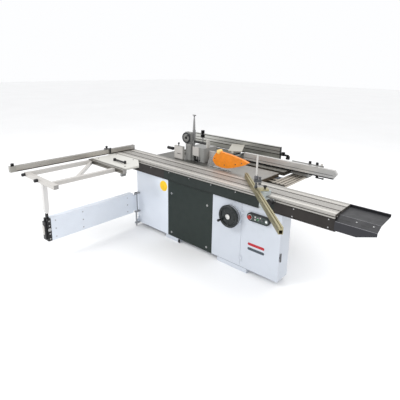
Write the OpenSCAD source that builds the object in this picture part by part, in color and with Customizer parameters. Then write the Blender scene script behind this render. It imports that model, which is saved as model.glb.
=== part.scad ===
// Sliding table panel saw on one machine body with a spindle moulder and a planer.
// Origin: on the floor, below the centre of the saw blade. +X runs along the sliding table,
// +Y from the operator into the machine, +Z up. Boards are fed towards -X. Millimetres.

/* [Machine body] */
// Height of the work tables above the floor
table_h = 890; // [880:5:900]
// Width of the white casing at the left of the front
left_w = 569; // [560:1:575]
// Width of the dark front cover
cover_w = 673; // [665:1:680]
// Width of the panel that carries the handwheel
wheel_panel_w = 371; // [366:1:376]
// Width of the door of the electric box
door_w = 435; // [420:5:450]
// Height of the base blocks below the casing
base_h = 45; // [40:1:50]
// Depth of the electric box behind its door
electric_d = 185; // [150:5:185]

/* [Sliding table] */
// Length of the sliding table
slide_len = 3000; // [2900:50:3000]
// Width of the sliding table
slide_w = 335; // [330:1:340]
// Thickness of the sliding table at its edges
slide_t = 35; // [35:1:36]
// Length of the fixed carriage beam
beam_len = 2607; // [2560:1:2620]
// Width of the carriage beam
beam_w = 187; // [185:1:190]
// Height of the carriage beam
beam_t = 118; // [110:1:120]
// Length of the folded end cover of the sliding table
cover_len = 320; // [280:5:340]

/* [Saw] */
// Diameter of the saw blade
blade_d = 315; // [300:5:315]
// Height of the blade above the table
cut_h = 70; // [60:5:70]
// Thickness of the riving knife
knife_t = 2.8; // [2.5:0.1:3]
// Diameter of the saw motor
motor_d = 150; // [140:5:150]

/* [Spindle moulder] */
// Distance of the spindle to the left of the saw blade
spindle_dx = 450; // [445:1:455]
// Diameter of the cutter on the spindle
cutter_d = 100; // [80:5:105]
// Height of the hood above the table
hood_h = 170; // [165:1:175]

/* [Planer] */
// Length of the planer fence
planer_fence_len = 1442; // [1380:2:1500]
// Height of the planer fence
planer_fence_h = 157; // [140:1:160]
// Diameter of the planer cutterblock
cutterblock_d = 100; // [95:1:100]

/* [Rip fence] */
// Length of the rip fence
rip_len = 1130; // [1090:2:1150]
// Height of the rip fence profile
rip_h = 85; // [80:1:90]
// Width of the rip fence rail
rail_w = 155; // [150:1:156]

/* [Outrigger and crosscut fence] */
// Width of the crosscut fence profile
cross_w = 42; // [40:1:44]
// Height of the crosscut fence profile
cross_h = 60; // [58:1:62]
// Height of the tubes of the outrigger frame
tube_h = 40; // [38:1:42]

/* [Swing arm] */
// Height of the swing arm box
arm_h = 253; // [240:1:260]
// Thickness of the swing arm box
arm_t = 70; // [66:1:74]
// Side of the square support post
post_w = 46; // [44:2:64]

/* [Mitre fence] */
// Length of the mitre fence
mitre_len = 1319; // [1300:1:1340]
// Width of the mitre fence profile
mitre_w = 34; // [32:1:40]
// Height of the mitre fence profile
mitre_h = 54; // [52:1:60]

/* [Hidden] */

$fn = 48;
sheet = 4;       // sheet metal of the casing
gap = 1;         // gap between casing panels
fit = 0.05;      // radial clearance of a shaft in its bore
above = 3;       // clearance of a fence above a table

// Casing, seen from the front
front_y = -350;
casing_x0 = -1080;
cover_x0 = casing_x0 + left_w;
wheel_x0 = cover_x0 + cover_w;
door_x0 = wheel_x0 + wheel_panel_w;
door_x1 = door_x0 + door_w;
casing_top = 733;
table_under = table_h - 40;
body_back = 330;
body_x1 = 600;

// Sliding table and beam
slide_x0 = -1550;
slide_x1 = slide_x0 + slide_len;
slide_y1 = -65;
slide_y0 = slide_y1 - slide_w;
slide_z0 = table_h - slide_t;
plate_z0 = table_h - 24;
beam_x1 = slide_x1 + 2;
beam_x0 = beam_x1 - beam_len;
beam_y0 = -372;
beam_y1 = beam_y0 + beam_w;
beam_z1 = table_h - 37;
beam_z0 = beam_z1 - beam_t;
way_y = [beam_y0 + 26, beam_y1 - 26];
way_r = 6;
way_low_z = beam_z1 - 9;
way_high_z = plate_z0 - 5;

// Saw
blade_r = blade_d / 2;
arbor_z = table_h + cut_h - blade_r;
guide_x = 80;
guide_y = 85;
motor_z = arbor_z - 242;

// Handwheel
wheel_at = [418, -430, 572];
wheel_r = 117;
crank_r = 92;
crank_angle = 211;

// Controls on the door
control_x = [608, 858];
control_z = 625;
control_r = 40;
control_y = front_y - 25;
stop_x = 645;
start_x = 735;

// Spindle moulder
spindle_at = [-spindle_dx, 118];
quill_r = 50;
hood_z0 = table_h + above;
hood_z1 = table_h + hood_h;

// Planer
planer_y = [400, 850];
cutter_at = [-300, table_h - 2 - cutterblock_d / 2];
guard_post = [-150, 372];
planer_fence_x1 = 232;
infeed_x1 = 555;

// Rip fence
rip_x0 = -60;
rip_y0 = 500;
rail_x0 = 584;

// Outrigger
cross_x1 = -1463;
cross_z0 = table_h + above;
tube_z0 = 835;
rail_top = tube_z0 + tube_h;
fence_pivot = [cross_x1 - cross_w / 2, -430];

// Swing arm
arm_pivot = [-1050, -400];
arm_z0 = 215;
arm_y = [-1530, -470];
post_y = -1550;

// Mitre fence, in axes turned by 45 degrees: u along the fence, v across it
mitre_u0 = 329.5;
mitre_v0 = 193.5;
mitre_pivot = [790, -380];
mitre_pivot_v = 290;
mitre_pivot_u = 827;
hold_z0 = table_h + above + mitre_h + 0.5;

// A box between two corners
module block(lo, hi) translate(lo) cube([hi.x - lo.x, hi.y - lo.y, hi.z - lo.z]);

// Round bars along each axis, from a start point
module bar_x(p, r, l) translate(p) rotate([0, 90, 0]) cylinder(r = r, h = l);
module bar_y(p, r, l) translate(p) rotate([-90, 0, 0]) cylinder(r = r, h = l);
module bar_z(p, r, l) translate(p) cylinder(r = r, h = l);

// A profile drawn in (y, z) and drawn out along X
module along_x(x0, x1) translate([x0, 0, 0]) rotate([90, 0, 90]) linear_extrude(x1 - x0) children();

// A profile drawn in (x, z) and drawn out along Y
module along_y(y0, y1) translate([0, y1, 0]) rotate([90, 0, 0]) linear_extrude(y1 - y0) children();

// A rectangle between two corners of a profile
module rect(lo, hi) translate(lo) square([hi.x - lo.x, hi.y - lo.y]);

// Welded base blocks, sills and posts
module base_frame() color("gainsboro") difference() {
    union() {
        block([-555, front_y, 0], [-330, body_back, base_h]);
        block([244, front_y - 2, 0], [622, body_back, base_h]);
        block([-331, -80, 0], [245, 80, base_h]);
        for (x = [-500, -80]) block([x, body_back - 1, 0], [x + 80, planer_y[1], base_h]);
        block([-500, body_back - 1, 0], [0, body_back + 60, base_h]);
        for (y = [-340, 260]) block([-1070, y, base_h], [530, y + 60, base_h + 60]);
        for (x = [-1070, -340, 470]) block([x, -340, base_h], [x + 60, 320, base_h + 60]);
        for (x = [-1070, -340, 470]) block([x, -340, base_h], [x + 60, -280, beam_z0]);
        for (x = [-1070, -340, 440], y = [-50, 260])
            if (x != -340 || y > 0) block([x, y, base_h], [x + 60, y + 60, table_under]);
        block([-540, 20, 560], [-330, 180, 620]);
        block([-380, 100, 560], [-280, 300, 620]);
    }
    for (x = [-440, 560], y = [-230, 210]) bar_z([x, y, -1], 7, base_h + 2);
    bar_z([spindle_at.x, spindle_at.y, 550], quill_r + fit, 80);
}

// White casing at the left: front sheet and left side sheet
module left_casing() color("white") {
    block([casing_x0, front_y, base_h], [cover_x0 - gap, front_y + sheet, casing_top]);
    along_x(casing_x0, casing_x0 + sheet) polygon([
        [front_y, base_h], [body_back, base_h], [body_back, table_under], [-170, table_under],
        [-170, casing_top], [front_y, casing_top]]);
}

// Dark front cover with a folded top edge
module dark_cover() color("darkslategray") difference() {
    block([cover_x0, front_y - 2, base_h + 3], [wheel_x0 - gap, front_y + sheet, casing_top]);
    block([cover_x0 + 12, front_y + 1, base_h + 15], [wheel_x0 - 13, front_y + 10, casing_top - 12]);
}

// Panel behind the handwheel, with the round boss of its bearing
module handwheel_panel() color("white") difference() {
    union() {
        block([wheel_x0 + gap, front_y, base_h + 3], [door_x0 - gap, front_y + sheet, casing_top]);
        bar_y([wheel_at.x, front_y - 25, wheel_at.z], 113, 26);
    }
    bar_y([wheel_at.x, front_y - 40, wheel_at.z], 10 + fit, 60);
    bar_y([wheel_at.x, front_y - 15, wheel_at.z], 104, 16);
}

// Open-fronted sheet box for the electric gear
module electric_box() color("white") difference() {
    block([door_x0 + gap, front_y + 5, base_h + 3], [door_x1 - 6, front_y + 5 + electric_d, casing_top]);
    block([door_x0 + gap + sheet, front_y, base_h + 3 + sheet],
        [door_x1 - 6 - sheet, front_y + 5 + electric_d - sheet, casing_top - sheet]);
}

// Rear and right side sheets of the body, with the round dust outlet
module rear_panel() color("white") difference() {
    union() {
        block([casing_x0 + sheet, body_back - sheet, base_h], [body_x1, body_back, 819]);
        block([casing_x0 + sheet, body_back - sheet, 818], [rail_x0 - 1, body_back, table_under]);
        along_x(body_x1 - sheet, body_x1) polygon([
            [front_y + 6 + electric_d, base_h], [body_back, base_h], [body_back, 820],
            [-60, 820], [-60, casing_top], [front_y + 6 + electric_d, casing_top]]);
        bar_y([-800, body_back - 1, 300], 60, 71);
    }
    bar_y([-800, body_back - 10, 300], 57, 100);
}

// Screws of the dark cover and of the carriage beam
module cover_screws() color("silver") {
    for (x = [cover_x0 + 57, wheel_x0 - 74], z = [94, 578])
        bar_y([x, front_y - 5, z], 7, 3);
    for (i = [0 : 8]) bar_y([beam_x0 + 60 + i * (beam_len - 120) / 8, beam_y0 - 3, beam_z1 - 26], 6, 3);
    for (x = [beam_x1 - 60, beam_x1 - 380]) bar_y([x, beam_y0 - 3, beam_z0 + 22], 6, 3);
}

// Door of the electric box with its folded right edge and two hinge barrels
module front_door() color("white") {
    block([door_x0 + gap, front_y, base_h + 3], [door_x1, front_y + sheet, casing_top]);
    block([door_x1 - 5, front_y + 1, base_h + 3], [door_x1, front_y + 20, casing_top]);
    for (z = [110, 600]) {
        bar_z([door_x0 + gap, front_y - 5.5, z], 5, 60);
        block([door_x0 + gap, front_y - 6, z], [door_x0 + gap + 22, front_y + 0.1, z + 60]);
    }
}

// Quarter-turn latch on the edge of the door
module door_latch() color("dimgray") {
    bar_x([door_x1 + 0.5, front_y + 12, 304], 9, 8);
    block([door_x1 + 7, front_y + 4, 262], [door_x1 + 15, front_y + 20, 346]);
}

// Fixed beam that carries the sliding table, with two round ways on top
module carriage_beam() color("dimgray") {
    along_x(beam_x0, beam_x1) difference() {
        rect([beam_y0, beam_z0], [beam_y1, beam_z1]);
        rect([beam_y0 + 14, beam_z1 - 14], [beam_y1 - 14, beam_z1 + 1]);
        polygon([[beam_y0 - 1, beam_z1 - 14.4], [beam_y0 + 14.1, beam_z1 - 8],
            [beam_y0 + 14.1, beam_z1 + 1], [beam_y0 - 1, beam_z1 + 1]]);
        rect([beam_y0 + 8, beam_z0 + 8], [beam_y1 - 8, beam_z1 - 23]);
    }
    for (x = [beam_x0, beam_x1 - 5]) block([x, beam_y0 + 7, beam_z0 + 7], [x + 5, beam_y1 - 7, beam_z1 - 22]);
    for (y = way_y) bar_x([beam_x0 + 5, y, way_low_z], way_r, beam_len - 10);
}

// Ribbed cast table with a skirt round its edge
module cast_table(x0, x1, y0, y1) difference() {
    block([x0, y0, table_under], [x1, y1, table_h]);
    block([x0 + 14, y0 + 14, table_under - 1], [x1 - 14, y1 - 14, table_h - 25]);
}

// Cast saw table with the slot for the blade
module saw_table() color("silver") difference() {
    cast_table(-228, 532, -60, 326);
    block([-230, -50, table_under - 1], [190, 18, table_h - 6]);
    block([-222, -13, table_h - 7], [150, 6, table_h + 1]);
    block([-45, -61, table_under - 1], [45, -40, table_h - 18]);
}

// Cast table of the spindle moulder with the spindle hole
module spindle_table() color("silver") difference() {
    cast_table(-1024, -230, -60, 326);
    bar_z([spindle_at.x, spindle_at.y, table_under - 1], 90, 50);
}

// Extruded table with two T-slots, fine grooves and the upper ways
module sliding_table() color("lightgray") {
    along_x(slide_x0, slide_x1) difference() {
        rect([slide_y0, slide_z0], [slide_y1, table_h]);
        rect([slide_y0 + 14, slide_z0 - 1], [slide_y1 - 14, plate_z0]);
        for (y = [slide_y0 + 110, slide_y1 - 106]) {
            rect([y - 5, table_h - 9], [y + 5, table_h + 1]);
            rect([y - 10, table_h - 16], [y + 10, table_h - 8.9]);
        }
        rect([slide_y0 - 1, table_h - 22], [slide_y0 + 9, table_h - 14]);
        for (i = [0 : 9]) rect([slide_y0 + 58 + i * 24, table_h - 1.5],
            [slide_y0 + 61 + i * 24, table_h + 1]);
    }
    for (y = way_y) bar_x([slide_x0, y, way_high_z], way_r, slide_len);
}

// Folded sheet cover at the right end of the sliding table
module table_cover() color("dimgray") difference() {
    along_x(slide_x1, slide_x1 + cover_len) polygon([
        [slide_y1, table_h - 1], [slide_y1, table_h - 25], [-313, table_h - 25],
        [slide_y0 + 6, table_h - 56], [slide_y0 + 6, 756], [slide_y0 + 3, 756],
        [slide_y0 + 3, table_h - 54], [-313.5, table_h - 22], [slide_y1 - 3, table_h - 22],
        [slide_y1 - 3, table_h - 1]]);
    along_y(slide_y0 - 2, slide_y0 + 12) polygon([
        [slide_x1 + cover_len - 150, 755], [slide_x1 + cover_len + 1, 755], [slide_x1 + cover_len + 1, 806]]);
}

// Carriage between the beam and the sliding table, with its rollers
module roller_carriage() color("slategray") {
    for (x = [-550 : 1200 : 650]) block([x - 20, way_y[0] + 16, 848], [x + 20, way_y[1] - 16, 856]);
    block([-535, way_y[0] + 34, 848], [635, way_y[1] - 34, 856]);
    for (x = [-550 : 300 : 650], y = [way_y[0] + way_r + 15.3, way_y[1] - way_r - 15.3]) {
        block([x - 10, min(y, -279), 848], [x + 10, max(y, -279), 856]);
        bar_z([x, y, 840], 15, 24);
    }
}

// Long round-ended housing of the push buttons
module control_box() color("black") difference() {
    union() {
        block([control_x[0] + control_r, control_y, control_z - control_r],
            [control_x[1] - control_r, front_y, control_z + control_r]);
        for (x = [control_x[0] + control_r, control_x[1] - control_r])
            bar_y([x, control_y, control_z], control_r, 25);
    }
    bar_y([stop_x, control_y - 1, control_z], 8 + fit, 20);
    bar_y([start_x, control_y - 1, control_z], 6 + fit, 16);
}

// Mushroom stop button on its stem
module stop_button() color("red") {
    bar_y([stop_x, control_y - 22, control_z], 19, 14);
    bar_y([stop_x, control_y - 9, control_z], 8, 20);
}

// Flat start button on its stem
module start_button() color("green") {
    bar_y([start_x, control_y - 8, control_z], 10, 4);
    bar_y([start_x, control_y - 5, control_z], 6, 14);
}

// Handwheel with rim, web, hub and shaft
module handwheel() color("black") translate(wheel_at) rotate([-90, 0, 0]) {
    rotate_extrude($fn = 96) {
        polygon([[10, 4], [30, 0], [34, 8], [92, 14], [92, 20], [34, 18], [30, 52], [10, 52]]);
        translate([wheel_r - 15, 15]) circle(15);
    }
    cylinder(r = 10, h = 150);
    translate([crank_r * cos(crank_angle), -crank_r * sin(crank_angle), -49]) cylinder(r = 5, h = 65);
}

// Turning grip of the handwheel
module crank_knob() color("black")
    translate([wheel_at.x + crank_r * cos(crank_angle), wheel_at.y - 54,
        wheel_at.z + crank_r * sin(crank_angle)])
        rotate([-90, 0, 0]) rotate_extrude()
            polygon([[0, 0], [8, 1], [13, 6], [14, 14], [10, 34], [9, 48], [12, 50],
                [5 + fit, 50], [5 + fit, 4], [0, 4]]);

// Ears and pin that carry the swing arm
module arm_hinge() color("gainsboro") {
    for (z = [40, 192, 436])
        difference() {
            union() {
                block([arm_pivot.x - 24, arm_pivot.y, z], [arm_pivot.x + 24, front_y, z + 12]);
                bar_z([arm_pivot.x, arm_pivot.y, z], 24, 12);
            }
            bar_z([arm_pivot.x, arm_pivot.y, z - 1], 9.5, 14);
        }
    bar_z([arm_pivot.x, arm_pivot.y, 12], 10, 440);
}

// Hollow swing arm with its hinge knuckle
module swing_arm() color("white") {
    difference() {
        union() {
            block([arm_pivot.x - arm_t / 2, arm_y[0], arm_z0],
                [arm_pivot.x + arm_t / 2, arm_y[1], arm_z0 + arm_h]);
            block([arm_pivot.x - 16, arm_y[1] - 1, arm_z0 + 12], [arm_pivot.x + 16, arm_pivot.y, 426]);
            bar_z([arm_pivot.x, arm_pivot.y, arm_z0 + 2], 22, 211);
        }
        block([arm_pivot.x - arm_t / 2 + sheet, arm_y[0] - 1, arm_z0 + sheet],
            [arm_pivot.x + arm_t / 2 - sheet, arm_y[1] - sheet, arm_z0 + arm_h - sheet]);
        bar_z([arm_pivot.x, arm_pivot.y, arm_z0 - 1], 10 + fit, 240);
    }
}

// Black collar at the outer end of the swing arm
module arm_end_cap() color("black") difference() {
    block([arm_pivot.x - arm_t / 2 - 3, arm_y[0] - 40, arm_z0 + 4],
        [arm_pivot.x + arm_t / 2 + 3, arm_y[0], arm_z0 + arm_h - 4]);
    block([arm_pivot.x - 25, arm_y[0] - 50, arm_z0 + 26], [arm_pivot.x + 25, arm_y[0] + 1, arm_z0 + 224]);
    block([arm_pivot.x - 14, arm_y[0] - 50, arm_z0 + 220],
        [arm_pivot.x + 14, post_y + 15, arm_z0 + arm_h + 1]);
}

// Telescopic inner tube with the post that carries the outrigger
module support_post() color("whitesmoke") {
    difference() {
        block([arm_pivot.x - 24, post_y - 42, arm_z0 + 27], [arm_pivot.x + 24, -800, arm_z0 + 223]);
        block([arm_pivot.x - 20, post_y - 38, arm_z0 + 31], [arm_pivot.x + 20, -799, arm_z0 + 219]);
    }
    block([arm_pivot.x - 12, post_y - 12, arm_z0 + 222], [arm_pivot.x + 12, post_y + 12, 522]);
    along_x(arm_pivot.x - post_w / 2, arm_pivot.x + post_w / 2) polygon([
        [post_y - 12, 520], [post_y + 12, 520], [post_y + post_w / 2, 560], [post_y + post_w / 2, 832],
        [post_y - post_w / 2, 832], [post_y - post_w / 2, 560]]);
}

// Tubes of the outrigger: end rail, two side rails, brace and two clamp knobs
module outrigger_frame() color("whitesmoke") {
    difference() {
        block([-1440, -1575, tube_z0], [-792, -1525, rail_top + 3]);
        block([-1437, -1572, tube_z0 + 3], [-791, -1528, rail_top]);
    }
    for (x = [-1440, -945]) difference() {
        block([x, -1524.8, tube_z0], [x + 45, -800.2, rail_top]);
        block([x + 3, -1520, tube_z0 + 3], [x + 42, -805, rail_top - 3]);
    }
    translate([0, 0, tube_z0]) linear_extrude(tube_h - 4) polygon([
        [-1396, -811], [-1396, -801], [-1364, -801], [-944, -1221], [-944, -1263]]);
    for (x = [-1420, -1130]) bar_y([x, -1605, tube_z0 + 22], 18, 29.8);
}

// Slotted cross bar between the outrigger frame and its table
module outrigger_cross_bar() color("silver") along_x(-1440, -758) difference() {
    rect([-800, 838], [-750, 886]);
    rect([-801, 857], [-791, 867]);
    rect([-780, 876], [-770, 887]);
    rect([-786, 870], [-764, 876.1]);
    rect([-790, 843], [-760, 856]);
}

// Flat table between the outrigger and the sliding table
module outrigger_plate() color("whitesmoke") {
    translate([0, 0, 866]) linear_extrude(22) polygon([
        [-1440, -749.8], [-775, -749.8], [-775, -560], [-985, slide_y0 - 1], [-1508, slide_y0 - 1],
        [-1508, -470], [-1440, -470]]);
    bar_z([fence_pivot.x, fence_pivot.y, 887], 8, 10);
}

// Lever that clamps the outrigger
module clamp_handle() color("black") {
    bar_z([-1150, -625, 889], 18, 26);
    block([-1150, -634, 896], [-935, -616, 910]);
    bar_z([-945, -625, 889.5], 13, 30);
}

// Hollow crosscut fence with a slot along its face and its top
module crosscut_fence() color("lightgray") difference() {
    along_y(-1640, -76) difference() {
        rect([cross_x1 - cross_w, cross_z0], [cross_x1, cross_z0 + cross_h]);
        rect([cross_x1 - cross_w + 5, cross_z0 + 5], [cross_x1 - 5, cross_z0 + cross_h - 8]);
        rect([cross_x1 - 2.5, cross_z0 + 24], [cross_x1 + 1, cross_z0 + 30]);
        rect([cross_x1 - cross_w / 2 - 5, cross_z0 + cross_h - 5],
            [cross_x1 - cross_w / 2 + 5, cross_z0 + cross_h + 1]);
    }
    bar_z([fence_pivot.x, fence_pivot.y, cross_z0 - 1], 8 + fit, 7);
}

// Inner bar of the crosscut fence with its end block and clamp knob
module fence_extension() color("silver") {
    block([cross_x1 - cross_w + 6, -1645, cross_z0 + 6], [cross_x1 - 6, -1050, cross_z0 + cross_h - 9]);
    block([cross_x1 - cross_w - 2, -1700, cross_z0 - 1], [cross_x1 + 2, -1642, cross_z0 + cross_h + 2]);
    bar_z([cross_x1 - cross_w / 2, -1668, cross_z0 + cross_h + 1], 17, 26);
}

// Carrier of the flip stop, on top of the crosscut fence
module stop_slider() color("dimgray") {
    block([cross_x1 - cross_w - 6, -530, cross_z0 + cross_h + 0.5],
        [cross_x1 + 4, -485, cross_z0 + cross_h + 16]);
    bar_z([cross_x1 - cross_w / 2, -508, cross_z0 + cross_h + 15], 11, 22);
    bar_y([cross_x1 + 12, -485, cross_z0 + cross_h + 12], 5, 20);
    block([cross_x1 + 2, -487, cross_z0 + cross_h + 4], [cross_x1 + 14, -485, cross_z0 + cross_h + 15]);
}

// Flap of the flip stop that hangs in front of the fence
module stop_flap() color("black") difference() {
    union() {
        bar_y([cross_x1 + 12, -484, cross_z0 + cross_h + 12], 10, 16);
        block([cross_x1 + 9, -484, cross_z0 + 8], [cross_x1 + 15, -468, cross_z0 + cross_h + 8]);
    }
    bar_y([cross_x1 + 12, -490, cross_z0 + cross_h + 12], 5 + fit, 30);
}

// Tilting frame of the saw with two round guide columns
module saw_trunnion() color("slategray") {
    for (x = [-125, 110]) along_x(x, x + 15) polygon([
        [35, 430], [140, 430], [140, 700], [100, 845], [40, 845]]);
    block([-111, 45, 432], [111, 125, 452]);
    for (x = [-guide_x, guide_x]) bar_z([x, guide_y, 450], 15, 370);
    for (x = [-110, 80]) block([x, 70, 800], [x + 30, 100, 820]);
}

// Arbor bearing housing on its vertical slide, with the motor arm
module arbor_housing() color("gray") difference() {
    union() {
        bar_y([0, 22, arbor_z], 27, 116);
        block([-20, 60, 700], [20, 110, arbor_z]);
        block([-105, 62, 640], [105, 108, 720]);
        block([56, 100, motor_z + 20], [94, 240, 700]);
        block([-176, knife_t / 2, 746], [-164, 30, 760]);
        block([-165, 2.4, 746], [-60, 30, 760]);
        block([-100, 25, 700], [-60, 64, 760]);
    }
    bar_y([0, 20, arbor_z], 15 + fit, 120);
    for (x = [-guide_x, guide_x]) bar_z([x, guide_y, 630], 15 + fit, 100);
    bar_y([0, 160, motor_z], motor_d / 2 + 0.2, 200);
}

// Motor with feet, end cover and the casing of the belt drive
module saw_motor() color("darkgray") {
    bar_y([0, 171, motor_z], motor_d / 2, 129);
    bar_y([0, 300, motor_z], motor_d / 2 - 8, 12);
    difference() {
        block([-50, 141, motor_z - 55], [50, 171, arbor_z + 27]);
        block([-46, 145, motor_z - 51], [46, 167, arbor_z + 24]);
        bar_y([0, 140, arbor_z], 16, 8);
    }
}

// Riving knife behind the blade
module riving_knife() color("silver") along_y(-knife_t / 2, knife_t / 2) difference() {
    polygon([[-160, 745], [-178, 745], [-200, 800], [-212, 830], [-220, 900], [-206, 960], [-160, 1016],
        [-100, 1040],
        [-70, 1036], [-60, 930]]);
    translate([0, arbor_z]) circle(blade_r + 5, $fn = 96);
}

// Shaft of the saw with flanges, nut and pulley
module saw_arbor() color("silver") {
    bar_y([0, -14, arbor_z], 15, 172);
    for (y = [-9, 1.6]) bar_y([0, y, arbor_z], 30, 7.4);
    bar_y([0, -16, arbor_z], 12, 7);
    bar_y([0, 147, arbor_z], 22, 16);
}

// Saw blade with gullets between its teeth
module saw_blade() color("silver") difference() {
    bar_y([0, -1.6, arbor_z], blade_r, 3.2);
    bar_y([0, -3, arbor_z], 15.02, 6);
    for (i = [0 : 35]) translate([0, 0, arbor_z]) rotate([0, i * 10, 0]) translate([0, -3, blade_r])
        rotate([-90, 0, 0]) linear_extrude(6) polygon([[0, 1], [1, 7], [4, 9], [8, 6], [13, 0.5],
            [14, -2], [0, -2]]);
}

// Crown guard that covers the top of the blade
module blade_guard() color("orange") {
    outline = [[-128, 970], [-119, 1014], [-94, 1054], [-62, 1088], [-28, 1092], [150, 1072],
        [300, 1046], [352, 1028],
        [300, 992], [180, 946], [80, 918], [0, 912], [-80, 924]];
    centre = [60, 1010];
    inner = [for (p = outline) centre + 0.93 * (p - centre)];
    difference() {
        along_y(-18, 18) polygon(outline);
        along_y(-14, 14) union() {
            polygon(inner);
            translate([-20, -40]) polygon(inner);
        }
        block([-140, -2.2, 900], [-50, 2.2, 1075]);
    }
    bar_y([-45, -24, 1086], 25, 48);
}

// Vertical quill of the spindle with its motor below
module spindle_quill() color("gray") {
    difference() {
        bar_z([spindle_at.x, spindle_at.y, 480], quill_r, 340);
        bar_z([spindle_at.x, spindle_at.y, 640], 15 + fit, 200);
    }
    bar_z([spindle_at.x, spindle_at.y, 250], 75, 230);
}

// Spindle with rings and cutter
module spindle_shaft() color("silver") {
    bar_z([spindle_at.x, spindle_at.y, 650], 15, 362);
    bar_z([spindle_at.x, spindle_at.y, 905], cutter_d / 2 - 14, 44);
    for (i = [0 : 3]) translate([spindle_at.x, spindle_at.y, 907]) rotate(i * 90)
        block([0, -7, 0], [cutter_d / 2, 7, 40]);
    bar_z([spindle_at.x, spindle_at.y, 822], 28, 60);
}

// Cast hood with its column, top plate and front shield
module spindle_hood() color("silver") {
    difference() {
        union() {
            block([-560, 62, table_h], [-330, 290, hood_z1]);
            block([-600, 30, table_h], [-522, 110, hood_z1 + 30]);
            block([-640, 60, hood_z1 + 20], [-550, 110, 1225]);
            block([-505, 50, hood_z0 + 62], [-405, 62.5, hood_z1 + 3]);
        }
        block([-521, 63, hood_z0 - 10], [-355, 265, hood_z1 - 12]);
        block([-500, 49, hood_z0 - 10], [-390, 64, hood_z0 + 62]);
        bar_z([-508, 77, hood_z1 - 20], 10 + fit, 40);
        bar_y([-596, 59, 1160], 7 + fit, 35);
    }
    bar_x([-331, 200, 960], 9, 110);
    bar_x([-730, 40, 960], 8, 140);
}

// Left fence plate of the moulder with its long knob
module hood_left_fence() color("gainsboro") {
    block([-752, -15, hood_z0], [-606, 15, table_h + 163]);
    difference() {
        block([-660, 14, 940], [-615, 56, 980]);
        bar_x([-670, 40, 960], 8 + fit, 60);
    }
    bar_x([-790, 4, 1000], 8, 40);
    bar_x([-885, 4, 1000], 19, 96);
    bar_z([-690, 0, table_h + 162], 6, 22);
    translate([-690, 0, table_h + 192]) sphere(13);
}

// Right fence plate of the moulder
module hood_right_fence() color("gainsboro") {
    block([-328, 150, hood_z0], [-232, 176, table_h + 132]);
    difference() {
        block([-320, 175, 940], [-285, 216, 980]);
        bar_x([-330, 200, 960], 9 + fit, 60);
    }
}

// Pressure unit above the hood: post, rod, cross bar and knobs
module pressure_post() color("gray") {
    block([-520, 64, hood_z1 + 31], [-494, 90, 1263]);
    bar_z([-508, 77, 985], 10, hood_z1 - 953);
    bar_z([-508, 77, 1262], 7, 178);
    bar_x([-530, 77, 1440], 6, 44);
    bar_x([-495, 77, 1123], 15, 200);
    block([-297, 58, 1078], [-275, 98, 1180]);
    bar_z([-368, 77, 1120], 9, 120);
    bar_z([-368, 77, 1192], 24, 34);
    bar_z([-368, 77, 1238], 21, 38);
}

// Small handwheel of the pressure unit
module pressure_wheel() color("dimgray") translate([-596, 15, 1160]) rotate([-90, 0, 0]) {
    rotate_extrude($fn = 72) {
        polygon([[0, 6], [14, 4], [16, 12], [54, 16], [54, 22], [16, 22], [14, 40], [0, 40]]);
        translate([57, 18]) circle(9);
    }
    cylinder(r = 7, h = 75);
}

// Planer stand: two side walls, headers and floor
module planer_body() color("white") difference() {
    union() {
        block([-560, 345, base_h], [60, 385, 838]);
        block([-560, 862, base_h], [60, 882, 838]);
        for (x = [-560, 40]) block([x, 384, 700], [x + 20, 863, 838]);
        block([-560, 384, base_h], [60, 863, base_h + 15]);
        bar_z([-250, 620, base_h + 5], 46, 290);
        block([-200, 881, 760], [-60, 940, table_h + 2]);
        for (y = [345, 862]) block([-350, y, 837], [-250, y + 20, 878]);
        bar_z([guard_post.x, guard_post.y, 837], 12, 6);
    }
    bar_y([cutter_at.x, 355, cutter_at.y], 15 + fit, 520);
    bar_z([-250, 620, base_h + 35], 32 + fit, 300);
}

// Height-adjusted table of the thicknesser on its screw column
module thickness_table() color("silver") {
    block([-640, 387, 380], [140, 858, 412]);
    bar_z([-250, 620, 100], 32, 281);
}

// Feed-side planer table, a little below the other one
module infeed_table() color("silver") difference() {
    block([cutter_at.x + 53, planer_y[0], table_under - 4], [infeed_x1, planer_y[1], table_h - 2]);
    block([cutter_at.x + 90, planer_y[0] + 15, table_under - 5],
        [infeed_x1 - 15, planer_y[1] - 15, table_h - 22]);
}

// Delivery-side planer table
module outfeed_table() color("silver") difference() {
    block([-1000, planer_y[0], 838], [cutter_at.x - 53, planer_y[1], table_h]);
    block([-985, planer_y[0] + 15, 837], [cutter_at.x - 90, planer_y[1] - 15, table_h - 22]);
}

// Planer cutterblock with four knife slots
module cutterblock() color("silver") difference() {
    union() {
        bar_y([cutter_at.x, 388, cutter_at.y], cutterblock_d / 2, 470);
        bar_y([cutter_at.x, 358, cutter_at.y], 15, 514);
    }
    for (i = [0 : 3]) translate([cutter_at.x, 387, cutter_at.y]) rotate([0, i * 90 + 45, 0])
        block([-3, 0, cutterblock_d / 2 - 12], [3, 472, cutterblock_d / 2 + 5]);
}

// Swinging guard above the cutterblock, on its post
module cutter_guard() color("gainsboro") {
    bar_z([guard_post.x, guard_post.y, 844], 10, 158);
    translate([guard_post.x, guard_post.y, 994]) rotate(30) difference() {
        block([-56, 58, 0], [115, 478, 9]);
        block([-50, 64, -1], [109, 472, 5]);
    }
    translate([guard_post.x, guard_post.y, 984]) rotate(30) block([-14, -14, 0], [14, 63, 14]);
}

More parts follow.
